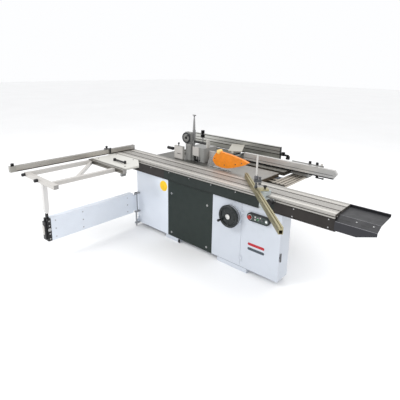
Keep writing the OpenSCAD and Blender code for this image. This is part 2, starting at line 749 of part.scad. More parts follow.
// Slotted planer fence profile with its end clamp bar
module planer_fence() color("lightgray") {
    along_x(planer_fence_x1 - planer_fence_len, planer_fence_x1) difference() {
        rect([852, hood_z0], [892, hood_z0 + planer_fence_h]);
        rect([858, hood_z0 + 6], [886, hood_z0 + 70]);
        rect([858, hood_z0 + 78], [886, hood_z0 + planer_fence_h - 6]);
        rect([851, hood_z0 + 60], [855, hood_z0 + 68]);
        rect([851, hood_z0 + 100], [855, hood_z0 + 106]);
    }
    block([planer_fence_x1 - 8, 857, 940], [planer_fence_x1 + 2, 887, hood_z0 + planer_fence_h - 5]);
    bar_x([planer_fence_x1 - 1, 872, 956], 12, 116);
    block([255, 856, 945], [290, 888, 990]);
    block([322, 856, 910], [358, 888, 951]);
}

// Grooved rail of the rip fence with its two brackets
module rip_rail() color("lightgray") {
    along_y(95, 880) difference() {
        rect([rail_x0, 820], [rail_x0 + rail_w, 850]);
        for (x = [rail_x0 + 30, rail_x0 + 75, rail_x0 + 120]) rect([x, 842], [x + 10, 851]);
        rect([rail_x0 + 8, 819], [rail_x0 + rail_w - 8, 830]);
    }
    for (y = [110, 190]) block([450, y, 822], [rail_x0 + 1, y + 40, 850]);
}

// Carriage of the rip fence with its long knob bar
module rip_carriage() color("gray") {
    block([565, 541, 851], [765, 700, 905]);
    block([742, 560, 826], [754, 690, 852]);
    block([600, 541, 904], [720, 575, 980]);
    bar_x([560, 560, 985], 13, 360);
    for (x = [771, 853]) bar_z([x, 560, 985], 15, 38);
    bar_z([905, 560, 985], 13, 34);
}

// Rip fence profile with its dark glide strip
module rip_fence() color("lightgray") {
    along_x(rip_x0, rip_x0 + rip_len) difference() {
        rect([rip_y0, table_h + 15], [rip_y0 + 40, table_h + 15 + rip_h]);
        rect([rip_y0 + 4, table_h + 19], [rip_y0 + 36, table_h + 11 + rip_h]);
        rect([rip_y0 - 1, table_h + 40], [rip_y0 + 1.5, table_h + 46]);
    }
    block([rip_x0 + 6, rip_y0 + 4, table_h + 1], [rip_x0 + rip_len - 10, rip_y0 + 36, table_h + 15]);
    along_y(rip_y0 + 2, rip_y0 + 38) polygon([
        [rip_x0 + rip_len, table_h + 17], [rip_x0 + rip_len + 30, table_h + 60],
        [rip_x0 + rip_len, table_h + 13 + rip_h]]);
}

// Cam lever below the end of the rip fence
module rip_lever() color("black") {
    bar_z([880, 520, 866], 15, 24);
    block([880, 511, 866], [945, 529, 876]);
    bar_z([945, 520, 864], 11, 14);
}

// Clamp of the mitre fence on the edge of the sliding table
module mitre_base() color("gainsboro") {
    difference() {
        union() {
            block([775, -425, table_h + 1], [832, -338, table_h + 38]);
            block([765, -425, 752], [825, -407, table_h + 2]);
        }
        bar_z([mitre_pivot.x, mitre_pivot.y, table_h + 8], 10 + fit, 40);
    }
    bar_y([890, -470, 860], 30, 40);
    bar_y([890, -431, 860], 12, 30);
    block([820, -425, 842], [905, -407, 878]);
}

// Mitre fence profile, set at 45 degrees, with its pivot arm
module mitre_fence() color("darkkhaki") rotate(-45) {
    difference() {
        block([mitre_u0, mitre_v0, table_h + above],
            [mitre_u0 + mitre_len, mitre_v0 + mitre_w, table_h + above + mitre_h]);
        block([mitre_u0 - 1, mitre_v0 + 4, table_h + 7],
            [mitre_u0 + mitre_len + 1, mitre_v0 + mitre_w - 4, table_h + 34]);
        block([mitre_u0 - 1, mitre_v0 + mitre_w / 2 - 4, table_h + above + mitre_h - 8],
            [mitre_u0 + mitre_len + 1, mitre_v0 + mitre_w / 2 + 4, table_h + 80]);
        block([mitre_u0 - 1, mitre_v0 - 1, table_h + 37],
            [mitre_u0 + mitre_len + 1, mitre_v0 + 3, table_h + 43]);
    }
    block([mitre_pivot_u - 32, mitre_v0 + mitre_w - 0.5, table_h + 40],
        [mitre_pivot_u + 32, mitre_pivot_v + 30, table_h + 54]);
    rotate(45) bar_z([mitre_pivot.x, mitre_pivot.y, table_h + 9], 10, 46);
}

// Hold-down on the mitre fence: rod, clamp block, arm and pad
module hold_down() color("white") {
    bar_z([720, -423, hold_z0], 9, 1251 - hold_z0);
    bar_z([720, -423, hold_z0], 15, 14);
    rotate(-45) translate([808, 210, 0]) block([-16, -20, 1000], [16, 46, 1026]);
    bar_z([744, -399, 975], 13, 26);
}

base_frame();
left_casing();
dark_cover();
handwheel_panel();
electric_box();
rear_panel();
cover_screws();
front_door();
door_latch();
carriage_beam();
saw_table();
spindle_table();
sliding_table();
table_cover();
roller_carriage();
control_box();
stop_button();
start_button();
handwheel();
crank_knob();
arm_hinge();
swing_arm();
arm_end_cap();
support_post();
outrigger_frame();
outrigger_cross_bar();
outrigger_plate();
clamp_handle();
crosscut_fence();
fence_extension();
stop_slider();
stop_flap();
saw_trunnion();
arbor_housing();
saw_motor();
riving_knife();
saw_arbor();
saw_blade();
blade_guard();
spindle_quill();
spindle_shaft();
spindle_hood();
hood_left_fence();
hood_right_fence();
pressure_post();
pressure_wheel();
planer_body();
thickness_table();
infeed_table();
outfeed_table();
cutterblock();
cutter_guard();
planer_fence();
rip_rail();
rip_carriage();
rip_fence();
rip_lever();
mitre_base();
mitre_fence();
hold_down();
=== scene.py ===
"""Sliding table panel saw with spindle moulder and planer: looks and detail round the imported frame.

Every piece is in metres in the frame's own axes: +X along the sliding table, +Y into the machine, +Z up.
"""

import math

import bmesh
import bpy
from mathutils import Matrix, Vector


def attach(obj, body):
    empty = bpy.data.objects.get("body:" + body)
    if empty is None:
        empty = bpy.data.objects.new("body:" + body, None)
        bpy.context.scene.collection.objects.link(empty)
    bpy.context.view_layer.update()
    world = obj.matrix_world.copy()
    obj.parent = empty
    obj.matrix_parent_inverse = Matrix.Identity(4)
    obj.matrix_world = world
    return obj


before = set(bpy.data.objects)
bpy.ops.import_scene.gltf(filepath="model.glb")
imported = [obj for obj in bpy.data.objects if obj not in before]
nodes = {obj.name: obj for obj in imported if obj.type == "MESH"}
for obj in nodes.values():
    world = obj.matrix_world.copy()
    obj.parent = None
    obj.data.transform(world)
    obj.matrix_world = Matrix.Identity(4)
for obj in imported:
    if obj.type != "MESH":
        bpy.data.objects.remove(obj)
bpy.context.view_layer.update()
MM = 0.001


# ---------------------------------------------------------------- materials

class Surface:
    """A node material with colour drift, fine grain and masks by place."""

    def __init__(self, name, metallic=0.0, coat=0.0, spec=0.5):
        self.mat = bpy.data.materials.new(name)
        self.mat.use_nodes = True
        self.tree = self.mat.node_tree
        self.tree.nodes.clear()
        out = self.add("ShaderNodeOutputMaterial")
        self.shader = self.add("ShaderNodeBsdfPrincipled")
        self.shader.inputs["Metallic"].default_value = metallic
        self.shader.inputs["IOR"].default_value = 1.5
        self.shader.inputs["Coat Weight"].default_value = coat
        self.shader.inputs["Coat Roughness"].default_value = 0.15
        self.shader.inputs["Specular IOR Level"].default_value = spec
        self.link(self.shader.outputs[0], out.inputs[0])
        self.coord = self.add("ShaderNodeTexCoord").outputs["Object"]

    def add(self, kind):
        return self.tree.nodes.new(kind)

    def link(self, a, b):
        self.tree.links.new(a, b)

    def noise(self, scale, detail=3.0, stretch=(1, 1, 1), roughness=0.55):
        mapping = self.add("ShaderNodeMapping")
        mapping.inputs["Scale"].default_value = stretch
        self.link(self.coord, mapping.inputs["Vector"])
        node = self.add("ShaderNodeTexNoise")
        node.inputs["Scale"].default_value = scale
        node.inputs["Detail"].default_value = detail
        node.inputs["Roughness"].default_value = roughness
        self.link(mapping.outputs[0], node.inputs["Vector"])
        return node.outputs["Fac"]

    def remap(self, value, low, high, start=0.3, end=0.7):
        node = self.add("ShaderNodeMapRange")
        node.inputs["From Min"].default_value = start
        node.inputs["From Max"].default_value = end
        node.inputs["To Min"].default_value = low
        node.inputs["To Max"].default_value = high
        self.link(value, node.inputs["Value"])
        return node.outputs[0]

    def mix(self, factor, a, b):
        node = self.add("ShaderNodeMix")
        node.data_type = "RGBA"
        self.link(factor, node.inputs[0])
        for value, socket in ((a, node.inputs[6]), (b, node.inputs[7])):
            if isinstance(value, tuple):
                socket.default_value = value + (1.0,)
            else:
                self.link(value, socket)
        return node.outputs[2]

    def mix_value(self, factor, a, b):
        node = self.add("ShaderNodeMix")
        self.link(factor, node.inputs[0])
        for value, socket in ((a, node.inputs[2]), (b, node.inputs[3])):
            if isinstance(value, (int, float)):
                socket.default_value = value
            else:
                self.link(value, socket)
        return node.outputs[0]

    def maths(self, operation, a, b):
        node = self.add("ShaderNodeMath")
        node.operation = operation
        for value, socket in ((a, node.inputs[0]), (b, node.inputs[1])):
            if isinstance(value, (int, float)):
                socket.default_value = value
            else:
                self.link(value, socket)
        return node.outputs[0]

    def inside(self, low, high):
        """1 between two corners in millimetres, 0 elsewhere. None leaves a side open."""
        parts = self.add("ShaderNodeSeparateXYZ")
        self.link(self.coord, parts.inputs[0])
        result = None
        for axis in range(3):
            for limit, operation in ((low[axis], "GREATER_THAN"), (high[axis], "LESS_THAN")):
                if limit is None:
                    continue
                term = self.maths(operation, parts.outputs[axis], limit * MM)
                result = term if result is None else self.maths("MULTIPLY", result, term)
        return result

    def zoned(self, tone, zones):
        """Lays the colour of each zone (low corner, high corner, colour) over the tone."""
        for low, high, other in zones:
            tone = self.mix(self.inside(low, high), tone, other)
        return tone

    def bump(self, height, strength, distance):
        node = self.add("ShaderNodeBump")
        node.inputs["Strength"].default_value = strength
        node.inputs["Distance"].default_value = distance
        self.link(height, node.inputs["Height"])
        self.link(node.outputs[0], self.shader.inputs["Normal"])

    def finish(self, colour, roughness):
        for value, socket in ((colour, "Base Color"), (roughness, "Roughness")):
            if isinstance(value, (int, float)):
                self.shader.inputs[socket].default_value = value
            elif isinstance(value, tuple):
                self.shader.inputs[socket].default_value = value + (1.0,)
            else:
                self.link(value, self.shader.inputs[socket])
        return self.mat


def shade(colour, factor):
    """The colour made darker or lighter by a factor, held at 1."""
    return tuple(min(1.0, c * factor) for c in colour)


def painted(name, colour, rough=0.35, coat=0.1, zones=(), spec=0.4):
    """Powder coat: orange peel, slow drift of tone, a little handling dirt."""
    s = Surface(name, coat=coat, spec=spec)
    tone = s.mix(s.remap(s.noise(1.7, 4.0), 0, 1), shade(colour, 0.95), shade(colour, 1.04))
    dirt = s.remap(s.noise(9.0, 6.0, roughness=0.7), 0.0, 0.16, 0.55, 0.8)
    tone = s.mix(dirt, tone, shade(colour, 0.7))
    tone = s.zoned(tone, zones)
    s.bump(s.noise(420.0, 2.0), 0.18, 0.0006)
    return s.finish(tone, s.remap(s.noise(14.0, 3.0), rough - 0.06, rough + 0.1))


def extruded(name, colour, rough=0.34, along=(0.02, 1, 1), metallic=0.85, zones=()):
    """Anodised or milled aluminium with fine lines along one axis."""
    s = Surface(name, metallic=metallic)
    streak = s.noise(260.0, 4.0, along, 0.7)
    tone = s.mix(s.remap(streak, 0, 1), shade(colour, 0.86), shade(colour, 1.08))
    tone = s.mix(s.remap(s.noise(3.0, 5.0), 0.0, 0.35, 0.45, 0.75), tone, shade(colour, 0.82))
    tone = s.zoned(tone, zones)
    s.bump(streak, 0.12, 0.0003)
    return s.finish(tone, s.remap(streak, rough - 0.07, rough + 0.12))


def machined(name, colour, rough=0.3, zones=(), metallic=0.9, shaded_side=None, top=None):
    """Ground cast iron or turned steel; the faces below top take the darker side colour, which is painted shade.
    """
    s = Surface(name, metallic=metallic)
    fine = s.noise(700.0, 3.0, (1, 0.06, 1), 0.6)
    blot = s.noise(11.0, 6.0, roughness=0.65)
    tone = s.mix(s.remap(blot, 0, 1), shade(colour, 0.84), shade(colour, 1.06))
    tone = s.mix(s.remap(fine, 0.0, 0.5), tone, shade(colour, 0.9))
    rough_map = s.remap(blot, rough - 0.08, rough + 0.14)
    # darken the faces below top: painted shade on the sides of the table
    if shaded_side is not None:
        side_shade_mask = s.inside((None, None, None), (None, None, top))
        tone = s.mix(side_shade_mask, tone, shaded_side)
        rough_map = s.mix_value(side_shade_mask, rough_map, 0.6)
    tone = s.zoned(tone, zones)
    s.bump(fine, 0.1, 0.0003)
    return s.finish(tone, rough_map)


def moulded(name, colour, rough=0.45, grain=900.0, zones=(), spec=0.4):
    """Moulded plastic with a fine spark grain."""
    s = Surface(name, spec=spec)
    tone = s.mix(s.remap(s.noise(24.0, 5.0), 0, 1), shade(colour, 0.86), shade(colour, 1.12))
    tone = s.zoned(tone, zones)
    s.bump(s.noise(grain, 2.0), 0.25, 0.0004)
    return s.finish(tone, s.remap(s.noise(30.0, 4.0), rough - 0.07, rough + 0.1))


WHITE = (0.54, 0.575, 0.63)
LIGHT = (0.50, 0.48, 0.455)
BLACK = (0.008, 0.008, 0.009)
GREEN_BLACK = (0.009, 0.017, 0.014)
BEAM = (0.020, 0.016, 0.014)
SLATE = (0.022, 0.022, 0.027)
ALU = (0.46, 0.44, 0.41)
STEEL = (0.42, 0.42, 0.42)
OLIVE = (0.40, 0.36, 0.22)
GREY = (0.22, 0.225, 0.225)
DARK_LINE = (0.05, 0.045, 0.04)
PALE_ORANGE = (0.86, 0.56, 0.17)
# dark tone painted as shade in and around the slots of the sliding table
SLOT_SHADOW = (0.12, 0.11, 0.10)

white = painted("white_paint", WHITE)
# the same white paint made lighter for the left casing and the swing arm: painted light
lit_white = painted("lit_white_paint", shade(WHITE, 1.28))
light = painted("light_paint", LIGHT, 0.3, 0.35)
grey_paint = painted("grey_paint", GREY, 0.4)
black = moulded("black_plastic", BLACK)
steel = machined("bright_steel", STEEL, 0.26)
dark_steel = machined("dark_steel", (0.13, 0.13, 0.14), 0.38)
alu = extruded("anodised_x", ALU)
cast_grey = painted("cast_grey", (0.12, 0.122, 0.125), 0.55, 0.0)
red = moulded("red_plastic", (0.30, 0.015, 0.01), 0.3)
green = moulded("green_plastic", (0.02, 0.16, 0.04), 0.3)
yellow = moulded("yellow_label", (0.88, 0.54, 0.01), 0.35)
# light paint for the creases of the table cover: painted highlights along the folds
crease_highlight = painted("crease_highlight_paint", (0.20, 0.20, 0.215), 0.4)

LOOKS = {
    "base_frame": white, "left_casing": lit_white, "handwheel_panel": white, "electric_box": white,
    "rear_panel": white, "front_door": white, "swing_arm": lit_white, "planer_body": white,
    "dark_cover": painted("dark_cover", GREEN_BLACK, 0.45, 0.0, spec=0.35),
    "cover_screws": steel, "roller_carriage": steel, "riving_knife": steel, "saw_arbor": steel,
    "saw_blade": machined("blade_steel", (0.60, 0.60, 0.60), 0.2),
    "door_latch": dark_steel, "stop_flap": black, "arm_end_cap": black, "clamp_handle": black,
    "rip_lever": black, "crank_knob": black, "control_box": black,
    "stop_button": red, "start_button": green,
    "arm_hinge": painted("hinge_paint", (0.30, 0.31, 0.33), 0.4),
    "carriage_beam": painted("beam_paint", BEAM, 0.5, 0.0, spec=0.35,
                             zones=[((-560, None, None), (890, None, None), (0.011, 0.017, 0.015))]),
    # the dark side colours on the cast tables are painted shade on their faces below the top
    "saw_table": machined("saw_table", (0.37, 0.355, 0.33), 0.34, shaded_side=(0.11, 0.085, 0.06), top=884),
    "spindle_table": machined("spindle_table", (0.175, 0.17, 0.158), 0.4, shaded_side=(0.11, 0.085, 0.06), top=884),
    # sliding table: the dark strips around the two T slots and the dark tone below the top face (slot insides and
    # front face) are painted shade
    "sliding_table": extruded("sliding_table", (0.40, 0.385, 0.36), 0.5, metallic=0.42,
                              zones=[((None, -378, 889.3), (None, -330, None), (0.56, 0.54, 0.505)),
                                     ((None, -150, 889.3), (None, -112, None), (0.54, 0.52, 0.485)),
                                     ((None, -299, 889.3), (None, -281, None), SLOT_SHADOW),
                                     ((None, -180, 889.3), (None, -162, None), SLOT_SHADOW),
                                     ((None, -390, 889.3), (None, -381, None), (0.2, 0.19, 0.17)),
                                     ((None, -98, 889.3), (None, -88, None), (0.2, 0.19, 0.17)),
                                     ((None, -399, 866), (None, -66, 889.3), (0.10, 0.09, 0.08))]),
    # table cover: the slope and top are painted darker than the front wall, as painted shade
    "table_cover": painted("table_cover", SLATE, 0.45, 0.0,
                           zones=[((None, -396, 837), (None, None, None), shade(SLATE, 0.55))]),
    "outrigger_cross_bar": extruded("cross_bar", (0.40, 0.39, 0.36),
                                    zones=[((None, None, 839), (None, -750.5, 885.4), (0.20, 0.19, 0.17))]),
    "outrigger_plate": painted("outrigger_plate", (0.60, 0.59, 0.55), 0.4),
    "outrigger_frame": painted("outrigger_paint", LIGHT, 0.35, 0.15,
                               zones=[((None, None, None), (None, -1575.4, None), BLACK)]),
    "crosscut_fence": extruded("crosscut_fence", (0.56, 0.54, 0.50), 0.34, (1, 0.02, 1),
                               zones=[((None, None, None), (None, None, 951.5), (0.47, 0.45, 0.415)),
                                      ((None, None, None), (None, None, 904), (0.08, 0.07, 0.06)),
                                      ((None, None, 944), (-1466, None, 952.6), DARK_LINE)]),
    "fence_extension": extruded("fence_extension", (0.42, 0.41, 0.38), 0.36, (1, 0.02, 1),
                                zones=[((None, None, 955), (None, None, None), BLACK)]),
    "stop_slider": machined("stop_slider", (0.22, 0.22, 0.22), 0.4,
                            zones=[((None, None, 970), (None, None, None), BLACK)]),
    "support_post": painted("post_paint", (0.66, 0.65, 0.64), 0.35, 0.1,
                            zones=[((None, None, 438.5), (None, None, 521), BLACK),
                                   ((None, None, None), (None, -1528, 438.6), BLACK)]),
    "saw_trunnion": cast_grey, "arbor_housing": cast_grey, "spindle_quill": cast_grey,
    "saw_motor": grey_paint, "rip_carriage": painted(
        "rip_carriage", (0.22, 0.22, 0.21), 0.5, 0.0,
        zones=[((740, None, 1000.5), (890, None, None), BLACK), ((890, None, 1000), (None, None, None), LIGHT)]),
    "handwheel": moulded("handwheel", (0.010, 0.014, 0.014), 0.36),
    "blade_guard": moulded("guard_orange", (0.76, 0.225, 0.004), 0.34, 500.0,
                           zones=[((-72, None, 1058), (-18, -18.4, 1112), PALE_ORANGE),
                                  ((-72, 18.4, 1058), (-18, None, 1112), PALE_ORANGE),
                                  ((-72, None, 1092.6), (-18, None, 1112), PALE_ORANGE)]),
    "spindle_shaft": steel,
    "spindle_hood": painted("hood_cast", (0.26, 0.26, 0.25), 0.5, 0.0,
                            zones=[((-506, None, 900), (-404, 62, None), LIGHT)]),
    "hood_left_fence": painted("left_fence", (0.38, 0.375, 0.35), 0.4, 0.0,
                               zones=[((None, None, None), (-756, None, None), BLACK),
                                      ((None, None, 1054), (None, None, None), BLACK)]),
    "hood_right_fence": painted("right_fence", LIGHT, 0.4),
    "pressure_post": machined("pressure_post", (0.30, 0.30, 0.30), 0.34,
                              zones=[((-400, None, 1190), (-340, None, None), BLACK),
                                     ((-494, None, 1100), (-298, None, 1140), (0.05, 0.05, 0.05)),
                                     ((-298, None, 1070), (-270, None, 1185), (0.60, 0.585, 0.55))]),
    "pressure_wheel": moulded("pressure_wheel", (0.022, 0.024, 0.026), 0.35),
    "thickness_table": machined("thickness_table", (0.46, 0.46, 0.44), 0.36),
    # infeed table: its top tone is darkened as painted shade under the rip fence; the side colours of both planer
    # tables are painted shade
    "infeed_table": machined("infeed_table", (0.21, 0.205, 0.185), 0.34, shaded_side=(0.07, 0.06, 0.045), top=882),
    "outfeed_table": machined("outfeed_table", (0.25, 0.245, 0.225), 0.34, shaded_side=(0.07, 0.06, 0.045), top=884),
    "cutterblock": steel,
    "cutter_guard": extruded("cutter_guard", (0.46, 0.44, 0.38), 0.36, (1, 1, 1), 0.5),
    # planer fence: the darker lower part and the two dark lines in the grooves are painted shade of the rounded
    # profile; the black at the right end is the clamps
    "planer_fence": extruded("planer_fence", (0.51, 0.51, 0.48), 0.34,
                             zones=[((None, None, 1036), (None, 853, 1048), (0.10, 0.10, 0.095)),
                                    ((None, None, 1000), (None, 853, 1036), (0.50, 0.50, 0.47)),
                                    ((None, None, 952), (None, 856, 962), DARK_LINE),
                                    ((None, None, 992.5), (None, 856, 999.5), DARK_LINE),
                                    ((None, None, None), (None, 853, 952), (0.36, 0.36, 0.33)),
                                    ((236, None, None), (None, None, None), BLACK)]),
    "rip_rail": extruded("rip_rail", (0.46, 0.42, 0.36), 0.36, (1, 0.02, 1),
                         zones=[((None, None, 840), (None, None, 849.3), (0.10, 0.085, 0.07))]),
    "rip_fence": extruded("rip_fence", (0.60, 0.59, 0.57), 0.36, metallic=0.6,
                          zones=[((None, None, None), (None, None, 904.8), BLACK)]),
    "mitre_base": painted("mitre_base", (0.42, 0.46, 0.46), 0.35, 0.1,
                          zones=[((None, None, None), (None, -426, None), BLACK)]),
    "mitre_fence": extruded("mitre_fence", OLIVE, 0.36, (1, 1, 1)),
    "hold_down": painted("hold_down", LIGHT, 0.3, 0.3,
                         zones=[((None, None, 999), (None, None, 1028), (0.05, 0.055, 0.06)),
                                ((None, None, None), (None, None, 995), (0.05, 0.055, 0.06))]),
}

BEVEL_WIDTH = 0.0012
BEVEL_ANGLE = 40
NO_BEVEL = {"saw_blade", "riving_knife", "roller_carriage", "cover_screws"}


def edge_bevel(obj, width, segments, angle):
    """Rounds the edges sharper than the angle in degrees; the width is in metres."""
    bevel = obj.modifiers.new("edge", "BEVEL")
    bevel.width = width
    bevel.segments = segments
    bevel.limit_method = "ANGLE"
    bevel.angle_limit = math.radians(angle)
    return bevel


for name, obj in nodes.items():
    look = LOOKS[name]
    if obj.material_slots:
        for slot in obj.material_slots:
            slot.link = "OBJECT"
            slot.material = look
    else:
        obj.data.materials.append(look)
    if name not in NO_BEVEL:
        bevel = edge_bevel(obj, BEVEL_WIDTH, 2, BEVEL_ANGLE)
        bevel.use_clamp_overlap = True
        bevel.harden_normals = False


# ---------------------------------------------------------------- mesh helpers

SHARP_ANGLE = 30
PIECE_BEVEL_ANGLE = 35
CLOSED = 0.001  # a radius below this is a point on the axis


def piece(name, bm, material, body, bevel=0.0):
    """Turns a bmesh in millimetres into a finished piece that rides on a body."""
    bmesh.ops.recalc_face_normals(bm, faces=bm.faces)
    bmesh.ops.scale(bm, vec=(MM, MM, MM), verts=bm.verts)
    mesh = bpy.data.meshes.new(name)
    bm.to_mesh(mesh)
    bm.free()
    obj = bpy.data.objects.new(name, mesh)
    bpy.context.scene.collection.objects.link(obj)
    mesh.materials.append(material)
    for polygon in mesh.polygons:
        polygon.use_smooth = True
    mesh.set_sharp_from_angle(angle=math.radians(SHARP_ANGLE))
    if bevel:
        edge_bevel(obj, bevel * MM, 3, PIECE_BEVEL_ANGLE)
    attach(obj, body)


def box_into(bm, low, high, turn=None):
    verts = [bm.verts.new((x, y, z))
             for x in (low[0], high[0]) for y in (low[1], high[1]) for z in (low[2], high[2])]
    if turn:
        bmesh.ops.transform(bm, matrix=turn, verts=verts)
    for ids in ((0, 1, 3, 2), (4, 6, 7, 5), (0, 4, 5, 1), (2, 3, 7, 6), (0, 2, 6, 4), (1, 5, 7, 3)):
        bm.faces.new([verts[i] for i in ids])


def axis_matrix(centre, axis):
    turn = Vector((0, 0, 1)).rotation_difference(Vector(axis))
    return Matrix.Translation(centre) @ turn.to_matrix().to_4x4()


def lathe_into(bm, centre, axis, profile, sides):
    """Turns a profile of (radius, height) points about an axis; ends close on the axis."""
    place = axis_matrix(centre, axis)
    angles = [2 * math.pi * i / sides for i in range(sides)]
    rings = []
    for radius, height in profile:
        if radius <= CLOSED:
            rings.append([bm.verts.new(place @ Vector((0, 0, height)))])
        else:
            rings.append([bm.verts.new(place @ Vector((radius * math.cos(a), radius * math.sin(a), height)))
                          for a in angles])
    for low, high in zip(rings, rings[1:]):
        for i in range(sides):
            j = (i + 1) % sides
            ids = {}
            for v in (low[i % len(low)], low[j % len(low)], high[j % len(high)], high[i % len(high)]):
                ids[v] = True
            if len(ids) > 2:
                bm.faces.new(list(ids))


def prism_into(bm, outline, low, high, axis=1):
    """A flat outline drawn out along an axis. The outline is in the other two axes, in X, Y, Z order."""
    def at(p, h):
        v = list(p)
        v.insert(axis, h)
        return v
    bottom = [bm.verts.new(at(p, low)) for p in outline]
    top = [bm.verts.new(at(p, high)) for p in outline]
    n = len(outline)
    for i in range(n):
        bm.faces.new((bottom[i], bottom[(i + 1) % n], top[(i + 1) % n], top[i]))
    bm.faces.new(bottom[::-1])
    bm.faces.new(top)


def round_outline(cx, cz, half_w, half_h, radius, steps=8):
    points = []
    for sx, sz, start in ((1, 1, 0), (-1, 1, 90), (-1, -1, 180), (1, -1, 270)):
        for i in range(steps + 1):
            a = math.radians(start + 90 * i / steps)
            points.append((cx + sx * (half_w - radius) + radius * math.cos(a),
                           cz + sz * (half_h - radius) + radius * math.sin(a)))
    return points


def circle(cx, cz, radius, sides):
    angles = [2 * math.pi * i / sides for i in range(sides)]
    return [(cx + radius * math.cos(a), cz + radius * math.sin(a)) for a in angles]


def boxes(name, items, material, body, bevel=0.6):
    """One piece of boxes, each given as (low, high) or (low, high, turn)."""
    bm = bmesh.new()
    for item in items:
        box_into(bm, *item)
    piece(name, bm, material, body, bevel=bevel)


def prisms(name, items, material, body, bevel=0.0):
    """One piece of prisms, each given as (outline, low, high) or (outline, low, high, axis)."""
    bm = bmesh.new()
    for item in items:
        prism_into(bm, *item)
    piece(name, bm, material, body, bevel=bevel)


def lathes(name, items, material, body, sides=32):
    """One piece of turned parts, each given as (centre, axis, profile)."""
    bm = bmesh.new()
    for centre, axis, profile in items:
        lathe_into(bm, centre, axis, profile, sides)
    piece(name, bm, material, body)


def vents(name, count, across, first, pitch, height, faces, axis):
    """A column of raised slats on a wall of the casing; across is the span of each slat."""
    items = []
    for low in (first + pitch * k for k in range(count)):
        high = low + height
        items.append(([(across[0], low), (across[1], low), (across[1], high), (across[0], high)], *faces, axis))
    prisms(name, items, white, "machine", 1.2)


def bolt(head=7, height=5):
    """Socket head: chamfered cylinder with a sunk well."""
    return [(0, height - 3), (head * 0.5, height - 3), (head * 0.5, height), (head * 0.9, height),
            (head, height - 0.8), (head, 0), (0, 0)]


def knob(r=18, h=28):
    """Grip that swells towards its top and narrows to a neck."""
    return [(0, h), (r * 0.55, h), (r * 0.9, h * 0.93), (r, h * 0.75), (r * 0.92, h * 0.5), (r * 0.55, h * 0.3),
            (r * 0.45, 0), (0, 0)]


def dome(r, h):
    return [(0, h), (r * 0.5, h * 0.88), (r * 0.85, h * 0.55), (r, 0), (0, 0)]


def ring(inner, outer, height):
    """Flat ring of square section."""
    return [(inner, 0), (outer, 0), (outer, height), (inner, height), (inner, 0)]


UP, DOWN, LEFT, RIGHT, OUT, IN = (0, 0, 1), (0, 0, -1), (-1, 0, 0), (1, 0, 0), (0, -1, 0), (0, 1, 0)
MARK = 0.6  # half the width of a scale mark


# ---------------------------------------------------------------- front of the casing

prisms("round_label", [(circle(-590, 636, 62, 64), -351.2, -350.05)], yellow, "machine")

# two plain stripes on the door
for label, tone, z in (("stripe_upper", moulded("stripe_red", (0.45, 0.02, 0.03), 0.35), 330),
                       ("stripe_lower", moulded("stripe_grey", (0.055, 0.07, 0.085), 0.35), 280)):
    prisms(label, [(round_outline(715, z, 95, 14, 13), -351.1, -350.05)], tone, "door")

# control panel: sunk face plate, collars, lamp, key switch
PANEL_Y, PANEL_Z = -376.5, 625
STOP_X, KEY_X, START_X, LAMP_X = 645, 782, 735, 826
prisms("control_plate", [(round_outline(733, PANEL_Z, 116, 31, 30.5, 12), -376.6, -374.9)],
       moulded("control_face", (0.035, 0.050, 0.046), 0.3), "door", 0.5)
lathes("control_collars",
       [((STOP_X, PANEL_Y, PANEL_Z), OUT, [(21, 0), (27, 0), (27, 3), (24.5, 5), (21, 5), (21, 0)]),
        ((START_X, PANEL_Y, PANEL_Z), OUT, [(11, 0), (15, 0), (15, 2), (13, 3.4), (11, 3.4), (11, 0)]),
        ((LAMP_X, PANEL_Y, PANEL_Z), OUT, [(10, 0), (15, 0), (15, 2), (13, 3.4), (10, 3.4), (10, 0)])],
       steel, "door")
lathes("signal_lamp", [((LAMP_X, PANEL_Y, PANEL_Z), OUT, [(0, 9), (5, 8.4), (9, 6), (10, 2), (10, 0), (0, 0)])],
       moulded("lamp_white", (0.85, 0.87, 0.86), 0.2), "door")
lathes("key_switch", [((KEY_X, PANEL_Y, PANEL_Z), OUT, [(0, 7), (8, 7), (10, 5.5), (10, 0), (0, 0)])],
       dark_steel, "door")
boxes("switch_marks", [((697, -377.4, 606), (712, -376.3, 618)), ((697, -377.4, 630), (712, -376.3, 646)),
                       ((755, -377.4, 637), (767, -376.3, 649))], light, "door", 0.3)

# screws in the hinge leaves of the door
lathes("door_hinge_screws", [((547, -356, z), OUT, [(0, 0.8), (3.2, 0.8), (4, 0), (0, 0)])
                             for z in (122, 158, 612, 648)], steel, "door")

# feet
lathes("levelling_feet", [((x, y, 0), UP, [(0, 44.8), (8, 44.8), (8, 14), (24, 12), (30, 4), (30, 0), (0, 0)])
                          for x, y in ((-570, -300), (-570, 280), (640, -150), (640, 280))],
       dark_steel, "machine")
boxes("front_foot", [((-337, -361, 4), (-313, -349.5, 40))], black, "machine", 2)

# upper crease of the dark cover and the washers of its screws
boxes("cover_edge", [((-511, -353.5, 716), (159, -351.6, 722))], LOOKS["dark_cover"], "machine")
lathes("cover_screw_washers", [((x, -352, z), OUT, [(0, 1.2), (11, 1.2), (12.5, 0), (0, 0)])
                               for x in (-454, 88) for z in (94, 578)], steel, "machine")

# slats and bolts on the left, rear and right sheets
vents("left_vents", 8, (-40, 140), 420, 22, 8, (-1083.5, -1079.5), 0)
vents("rear_vents", 8, (180, 420), 300, 24, 9, (329.5, 333.5), 1)
vents("right_vents", 7, (-60, 150), 520, 24, 8, (599.5, 603), 0)
lathes("right_bolts", [((600, y, z), RIGHT, bolt(7, 4)) for y in (-130, 300) for z in (70, 400, 700)],
       steel, "machine")
lathes("dust_collar", [((-800, 400, 300), IN, [(57.2, -68), (64, -68), (64, -60), (61, -58), (61, -4), (63, 0),
                                               (57.2, 0), (57.2, -68)])], steel, "machine", 64)
lathes("rear_bolts", [((x, 330, z), IN, bolt(7, 4)) for x in (-1050, -640, 570) for z in (70, 440, 810)],
       steel, "machine")

